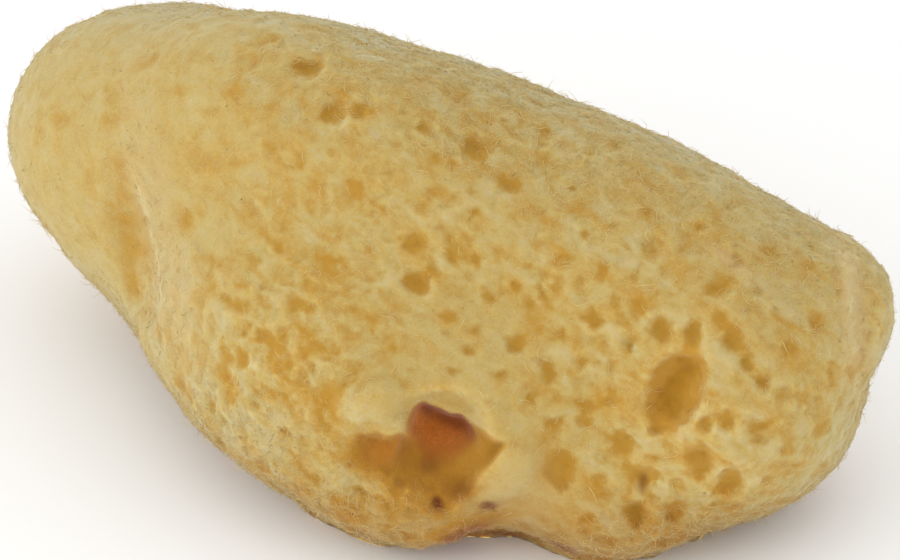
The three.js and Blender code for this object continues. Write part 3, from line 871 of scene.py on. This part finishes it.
def mark_skin(skin, hull):
    """Gives each point of the skin what its colour and its fuzz go by, and says which points are seen."""
    places = points_of(skin)
    tree = tree_of(hull)
    seen = normals_of(skin) @ np.array(TO_EYE) > SEEN_FACING
    outward = outward_of(places, hull)
    hollow = np.clip((hollow_depths(skin, hull) - HOLLOW_STARTS) / HOLLOW_DEEP, 0, 1)
    soft_dent_patches = [("painted_dent_shade", row[:2], *row[2:], 1) for row in sum(SOFT_DENTS.values(), [])]
    # Rust-brown painted shade in the cave, on its floor and under the flap, strongest deep in each part.
    recess_shade_share = [
        strength * cave_share(places, hull, corners) ** RECESS_SHADE_POWER
        for _, _, strength, corners in CAVE_PARTS
    ]
    in_cave = np.clip(ROOF_EDGE * cave_share(places, hull, CAVE_PARTS[0][3]), 0, 1)
    # Painted shadow under the cave's roof, ending at its edge.
    roof_shadow = in_cave * strongest_patch(places, tree, ROOF_SHADOW_SPOTS)
    # Painted rim shade: greyer and darker towards the upper right and where the surface is seen at a glancing
    # angle.
    up_right = outward @ np.array(VIEW_UP) + RIGHT_TO_UP * outward @ np.array(VIEW_RIGHT)
    glancing = 1 - np.abs(outward @ np.array(TO_EYE))
    everywhere, upper, slant, steep = RIM_SHADE_WEIGHTS
    painted_rim_shade = np.clip(everywhere + upper * up_right + slant * glancing + steep * glancing**2, 0, 1)
    marks = dict(
        # The depth below the closed hull, which turns the colour amber as painted shade and thins the fuzz.
        hollow=hollow,
        ridge=ridge_heights(skin),
        # Seen soft dents turn a little more amber: painted shade.
        painted_dent_shade=seen * strongest_patch(places, tree, soft_dent_patches),
        # Painted shade in the recesses.
        recess_shade=np.max([*recess_shade_share, strongest_patch(places, tree, RECESS_SHADE_PATCHES)], axis=0),
        # Painted shadow in spots.
        painted_shadow=np.maximum(roof_shadow, strongest_patch(places, tree, SHADOW_SPOTS)),
        # Painted sheen on lobe edges and crests.
        painted_sheen=strongest_patch(places, tree, SHEEN_EDGES),
        # Painted shade, darker and browner towards the bottom.
        foot=np.clip(FOOT_STRENGTH * (1 - places[:, 2] / FOOT_HEIGHT), 0, 1),
        painted_rim_shade=painted_rim_shade * (1 - RIM_SHADE_LACKED * hollow),
        relief=np.clip(zone_strengths(places, hull), 0, STRONGEST_RELIEF),
    )
    for name, values in marks.items():
        add_attribute(skin, name, values)
    return marks, seen


def fuzz_weight(skin, hull, hollow, seen):
    """How thickly the fuzz grows at each point: thinly in the pits and not at all on the cut."""
    places = points_of(skin)
    thick = np.where(seen, BARE_FUZZ, HIDDEN_FUZZ)
    thick = np.maximum(thick, strongest_patch(places, tree_of(hull), THICK_FUZZ))
    thick = thick * np.clip(PIT_FUZZ - PIT_FUZZ * hollow, LEAST_FUZZ, 1)
    return np.where(places[:, 2] < CUT_BAND, 0, thick)


def flattened(arrows, normals, share=1):
    """Arrows with a share of what points along the normals taken out."""
    return arrows - normals * (arrows * normals).sum(axis=1)[:, None] * share


def unit(arrows):
    return arrows / np.linalg.norm(arrows, axis=1)[:, None]


def fuzz_piece(skin, weight, name, count, segments, lengths, thick, lift, curl, seed):
    """Fibre ends as closed three-sided tubes that taper to a point, planted in the skin. Also gives the
    skin's point at each root and the number of points in each fibre."""
    rng = np.random.default_rng(seed)
    roots, normals, nearest = spots_on(skin, count, rng, weight)
    flat = unit(flattened(rng.normal(size=(count, 3)), normals))
    heading = unit(flat + normals * (lift * rng.uniform(*LIFT_SPREAD, count))[:, None])
    step = rng.uniform(*lengths, count)[:, None] / segments
    bend = flattened(rng.normal(size=(count, 3)) * curl, normals, BEND_FLATTENED)
    centre = roots - normals * thick
    rings = []
    for ring in range(segments):
        side = unit(np.cross(heading, normals + ASKEW))
        other = np.cross(heading, side)
        radius = thick / 2 * (1 - TAPER * ring / segments)
        for corner in range(3):
            angle = 2 * math.pi * corner / 3
            rings.append(centre + radius * (math.cos(angle) * side + math.sin(angle) * other))
        centre = centre + heading * step
        kink = flattened(rng.normal(size=(count, 3)) * curl * KINK, normals, KINK_FLATTENED)
        heading = unit(heading + bend / segments * 2 + kink - normals * DROOP)
    rings.append(centre)
    points = np.stack(rings, axis=1)
    low, high = np.array(CAD_BOX[0]), np.array(CAD_BOX[1])
    points = np.clip(points, low + FUZZ_OVER_CUT, high + FUZZ_PAST_BOX)
    faces = [(0, 2, 1)]
    for ring in range(segments - 1):
        for corner in range(3):
            a, b = 3 * ring + corner, 3 * ring + (corner + 1) % 3
            faces += [(a, b, b + 3), (a, b + 3, a + 3)]
    tip = 3 * segments
    faces += [(tip - 3, tip - 2, tip), (tip - 2, tip - 1, tip), (tip - 1, tip - 3, tip)]
    faces = (np.array(faces)[None] + np.arange(count)[:, None, None] * (tip + 1)).reshape(-1, 3)
    return mesh_piece(name, points.reshape(-1, 3), faces), nearest, tip + 1


def linear(code):
    """A colour written as an sRGB hex code, as the linear values that a shader takes."""
    parts = [int(code[i:i + 2], 16) / 255 for i in (1, 3, 5)]
    return [c / 12.92 if c <= 0.04045 else ((c + 0.055) / 1.055) ** 2.4 for c in parts] + [1]


def add_node(tree, kind, links=None, stops=None, **settings):
    """Adds a node, with its settings, values for its sockets, links to them and a ramp's colours."""
    node = tree.nodes.new(kind)
    for name, value in settings.items():
        setattr(node, name, value)
    for name, value in (links or {}).items():
        if isinstance(value, bpy.types.NodeSocket):
            tree.links.new(value, node.inputs[name])
        else:
            node.inputs[name].default_value = value
    if stops:
        first, last = node.color_ramp.elements
        first.position, first.color = stops[0][0], linear(stops[0][1])
        last.position, last.color = stops[-1][0], linear(stops[-1][1])
        for position, code in stops[1:-1]:
            node.color_ramp.elements.new(position).color = linear(code)
    return node


def new_material(name, finish):
    """A material of one shader with its finish, its node tree and that shader."""
    material = bpy.data.materials.new(name)
    material.use_nodes = True
    shader = material.node_tree.nodes["Principled BSDF"]
    for socket, value in finish.items():
        shader.inputs[socket].default_value = value
    return material, material.node_tree, shader


def spongin_skin():
    """Dry spongin, the horny fibre of a bath sponge: matte and translucent, cream where light and sea water
    have bleached it, with amber painted shade down in the pits, standing in for the light that has come
    through many fibres."""
    material, tree, shader = new_material("spongin_skin", {
        "Roughness": 0.95,
        "Specular IOR Level": 0.1,
        "Subsurface Weight": 1.0,
        "Subsurface Radius": (1.0, 0.7, 0.3),
        "Subsurface Scale": 2.2 * MM,
        "Sheen Weight": 0.2,
        "Sheen Roughness": 0.5,
    })
    hollow, ridge, painted_dent_shade, relief, painted_rim_shade, foot, painted_sheen, recess_shade, painted_shadow = (
        add_node(tree, "ShaderNodeAttribute", attribute_name=name).outputs["Fac"]
        for name in ("hollow", "ridge", "painted_dent_shade", "relief", "painted_rim_shade", "foot", "painted_sheen", "recess_shade", "painted_shadow")
    )
    place = add_node(tree, "ShaderNodeTexCoord").outputs["Object"]
    along_grain = add_node(
        tree, "ShaderNodeMapping",
        {"Vector": place, "Rotation": tuple(GRAIN.to_track_quat("X", "Z").to_euler()), "Scale": (2, 1, 1)},
        vector_type="TEXTURE",
    ).outputs["Vector"]
    mottle = add_node(
        tree, "ShaderNodeTexNoise",
        {"Vector": along_grain, "Scale": 1 / (2.4 * MM), "Detail": 2.5, "Roughness": 0.5, "Distortion": 0.5},
    ).outputs["Fac"]
    wisps = add_node(
        tree, "ShaderNodeTexNoise",
        {"Vector": place, "Scale": 1 / (0.8 * MM), "Detail": 1.0, "Distortion": 2.5},
    ).outputs["Fac"]
    mottle = add_node(tree, "ShaderNodeMath", {0: mottle, 1: 0.5}, operation="SUBTRACT").outputs["Value"]
    mottle = add_node(tree, "ShaderNodeMath", {0: mottle, 1: relief}, operation="MULTIPLY").outputs["Value"]
    # Amber painted shade, deeper in hollows and creases and paler on ridges, over a mottle and wisps of the
    # felt's own.
    amber = add_node(tree, "ShaderNodeMath", {0: hollow, 1: FELT_START}, operation="ADD").outputs["Value"]
    for share, what in ((-0.07, ridge), (0.75, mottle), (-0.25, wisps), (0.1, painted_dent_shade)):
        amber = add_node(
            tree, "ShaderNodeMath", {0: what, 1: share, 2: amber}, operation="MULTIPLY_ADD",
        ).outputs["Value"]
    colour = add_node(tree, "ShaderNodeValToRGB", {"Fac": amber}, FELT_AND_PIT_SHADE_COLOURS).outputs["Color"]
    uneven = add_node(
        tree, "ShaderNodeMath", {0: wisps, 1: 0.8, 2: 0.6}, operation="MULTIPLY_ADD",
    ).outputs["Value"]
    # The painted shade of the recesses, made uneven.
    recess_shade = add_node(tree, "ShaderNodeMath", {0: recess_shade, 1: uneven}, operation="MULTIPLY").outputs["Value"]
    recess_shaded = add_node(tree, "ShaderNodeValToRGB", {"Fac": recess_shade}, RECESS_SHADE_COLOURS).outputs["Color"]
    recess_shade_share = add_node(
        tree, "ShaderNodeMath", {0: recess_shade, 1: 2.5}, operation="MULTIPLY", use_clamp=True,
    ).outputs["Value"]
    for share, tint, how in (
        # Painted rim shade.
        (painted_rim_shade, linear(RIM_SHADE_FILTER), "MULTIPLY"),
        # Painted shade near the bottom.
        (foot, linear(FOOT_SHADE_FILTER), "MULTIPLY"),
        # Painted sheen on lobe edges.
        (painted_sheen, linear(PAINTED_SHEEN_COLOUR), "MIX"),
        # Painted shade in the recesses.
        (recess_shade_share, recess_shaded, "MIX"),
        # Painted shadow in spots.
        (painted_shadow, linear(SHADOW_BROWN), "MIX"),
    ):
        colour = add_node(
            tree, "ShaderNodeMix", {"Factor": share, "A": colour, "B": tint},
            data_type="RGBA", blend_type=how,
        ).outputs["Result"]
    tree.links.new(colour, shader.inputs["Base Color"])
    grain = add_node(
        tree, "ShaderNodeTexNoise",
        {"Vector": place, "Scale": 1 / (0.45 * MM), "Detail": 4.0, "Distortion": 1.5},
    ).outputs["Fac"]
    bump = add_node(tree, "ShaderNodeBump", {"Height": grain, "Strength": 0.45, "Distance": 0.2 * MM})
    tree.links.new(bump.outputs["Normal"], shader.inputs["Normal"])
    return material


def spongin_fuzz():
    """Loose ends of spongin fibre, bleached by light and paler than the skin, with amber painted shade in the
    pits and the painted shade of the recesses.
    """
    material, tree, shader = new_material("spongin_fuzz", {"Roughness": 0.8, "Specular IOR Level": 0.1})
    hollow, recess_shade = (
        add_node(tree, "ShaderNodeAttribute", attribute_name=name).outputs["Fac"]
        for name in ("hollow", "recess_shade")
    )
    # The fibres turn amber in the pits: painted shade.
    fibre = add_node(tree, "ShaderNodeValToRGB", {"Fac": hollow}, FIBRE_AND_PIT_SHADE_COLOURS).outputs["Color"]
    # The fibres take the painted shade of the recesses.
    recess_shaded = add_node(
        tree, "ShaderNodeMix", {"Factor": recess_shade, "A": fibre, "B": linear(FIBRE_RECESS_SHADE)}, data_type="RGBA",
    ).outputs["Result"]
    tree.links.new(recess_shaded, shader.inputs["Base Color"])
    return material


def set_camera():
    data = bpy.data.cameras.new("camera")
    data.sensor_width = SENSOR
    data.lens = SENSOR * PIXELS_PER_MM * DISTANCE / MM / PICTURE_WIDTH
    data.clip_start, data.clip_end = CLIP
    camera = bpy.data.objects.new("camera", data)
    camera.location = EYE
    camera.rotation_mode = "QUATERNION"
    camera.rotation_quaternion = TO_EYE.to_track_quat("Z", "Y")
    bpy.context.scene.collection.objects.link(camera)
    bpy.context.scene.camera = camera


def set_stage():
    bpy.ops.mesh.primitive_plane_add(size=FLOOR_SIZE, location=(0, 0, 0))
    floor = bpy.context.object
    floor.name = "floor"
    paper, _, _ = new_material("white_paper", {"Base Color": linear("#fbfbfa"), "Roughness": 0.9})
    floor.data.materials.append(paper)
    world = bpy.data.worlds.new("studio")
    bpy.context.scene.world = world
    world.use_nodes = True
    world.node_tree.nodes["Background"].inputs["Color"].default_value = linear("#ffffff")
    world.node_tree.nodes["Background"].inputs["Strength"].default_value = WORLD_STRENGTH
    light = bpy.data.lights.new("softbox", "AREA")
    light.shape = "SQUARE"
    light.size = LIGHT_SIZE
    light.energy = LIGHT_POWER
    softbox = bpy.data.objects.new("softbox", light)
    softbox.location = LIGHT_PLACE
    softbox.rotation_mode = "QUATERNION"
    softbox.rotation_quaternion = LIGHT_PLACE.to_track_quat("Z", "Y")
    bpy.context.scene.collection.objects.link(softbox)
    bpy.context.scene.view_settings.view_transform = "Standard"


set_camera()
set_stage()
body = sponge_body()
hull = closed_hull(body)
plug_cave(body, hull)
skin = skin_of(body, hull)
skin.name = "sponge_skin"
marks, seen = mark_skin(skin, hull)
skin.data.materials.clear()
skin.data.materials.append(spongin_skin())
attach(skin, "root")
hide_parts("sponge")

weight = fuzz_weight(skin, hull, marks["hollow"], seen)
fuzz_fibre = spongin_fuzz()
for kind in FUZZ:
    piece, nearest, corners = fuzz_piece(skin, weight, **kind)
    for name in ("hollow", "recess_shade"):
        add_attribute(piece, name, np.repeat(marks[name][nearest], corners))
    piece.data.materials.append(fuzz_fibre)
    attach(piece, "root")
bpy.data.objects.remove(body)
bpy.data.objects.remove(hull)
